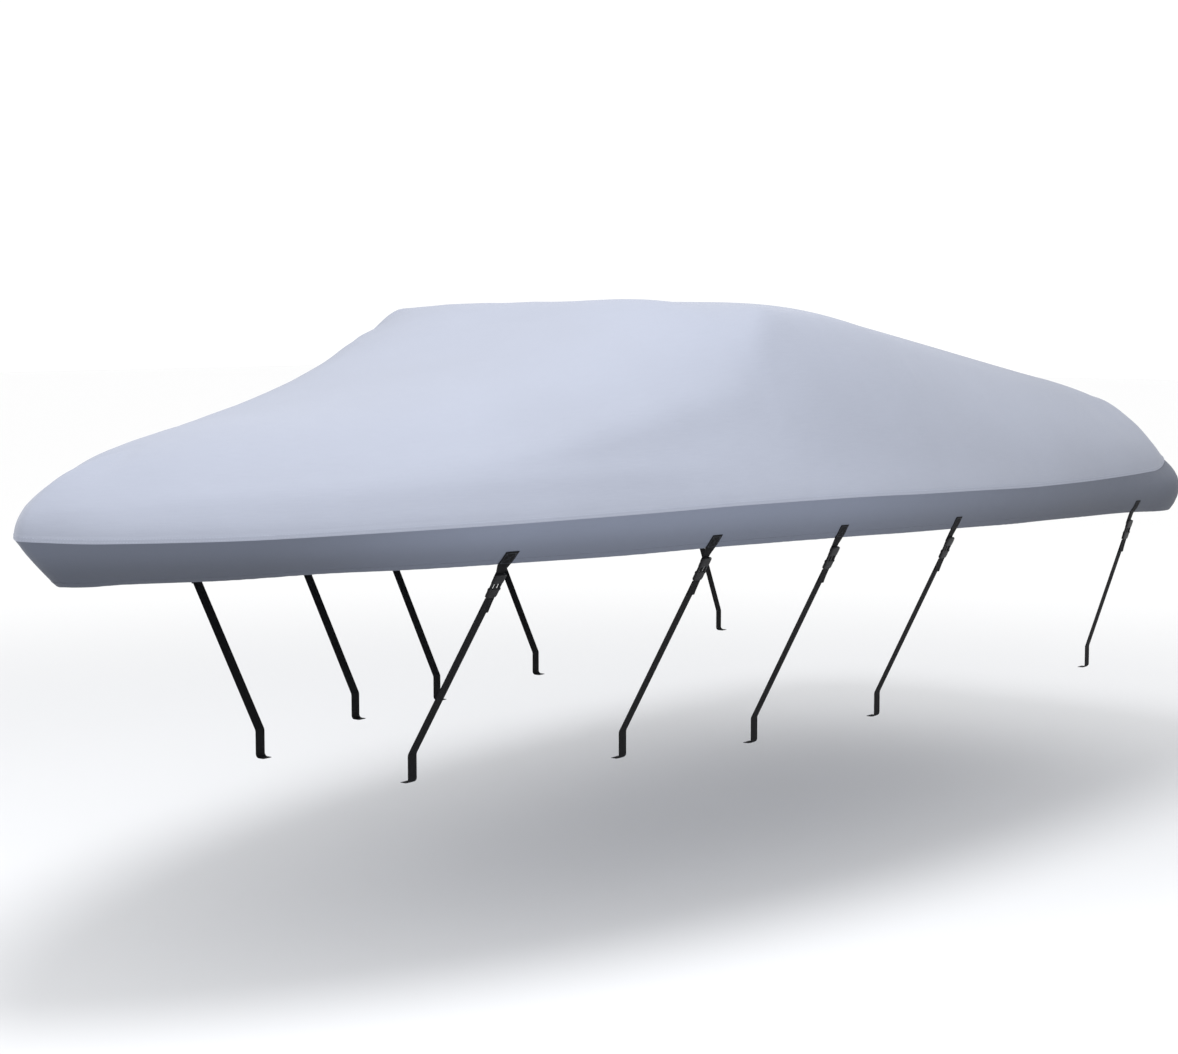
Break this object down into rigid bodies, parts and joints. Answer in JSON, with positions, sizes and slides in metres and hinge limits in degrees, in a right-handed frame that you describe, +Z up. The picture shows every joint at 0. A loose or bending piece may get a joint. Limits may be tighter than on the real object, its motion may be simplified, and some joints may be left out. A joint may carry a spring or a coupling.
{
  "type": "trailerable boat cover",
  "caption": "Fitted storage cover drawn taut over a runabout from bow to transom, with a tucked-in skirt and buckled tie-down straps that run down to the trailer's rails.",
  "frame": {"origin": "inner face of the top cloth on the centreline, where the windshield's top edge holds the cover up", "axes": "+X aft to the transom, +Y to starboard, +Z up"},
  "size_m": [5.2902, 2.24, 1.4482],
  "materials": {
    "top_cloth": "matt coated polyester, pale silver grey",
    "skirt_cloth": "matt coated polyester, slate grey",
    "webbing": "woven black polypropylene webbing",
    "buckle_plastic": "satin black moulded acetal"
  },
  "bodies": {
    "root": {"top_cloth": "top_cloth", "skirt_panel": "skirt_cloth", "tab_port_1": "webbing", "tab_port_2": "webbing", "tab_port_3": "webbing", "tab_port_4": "webbing", "tab_port_5": "webbing", "tab_starboard_1": "webbing", "tab_starboard_2": "webbing", "tab_starboard_3": "webbing", "tab_starboard_4": "webbing", "tab_starboard_5": "webbing", "buckle_port_1": "buckle_plastic", "buckle_port_2": "buckle_plastic", "buckle_port_3": "buckle_plastic", "buckle_port_4": "buckle_plastic", "buckle_port_5": "buckle_plastic", "buckle_starboard_1": "buckle_plastic", "buckle_starboard_2": "buckle_plastic", "buckle_starboard_3": "buckle_plastic", "buckle_starboard_4": "buckle_plastic", "buckle_starboard_5": "buckle_plastic", "strap_port_1": "webbing", "strap_port_2": "webbing", "strap_port_3": "webbing", "strap_port_4": "webbing", "strap_port_5": "webbing", "strap_starboard_1": "webbing", "strap_starboard_2": "webbing", "strap_starboard_3": "webbing", "strap_starboard_4": "webbing", "strap_starboard_5": "webbing"}
  },
  "joints": []
}
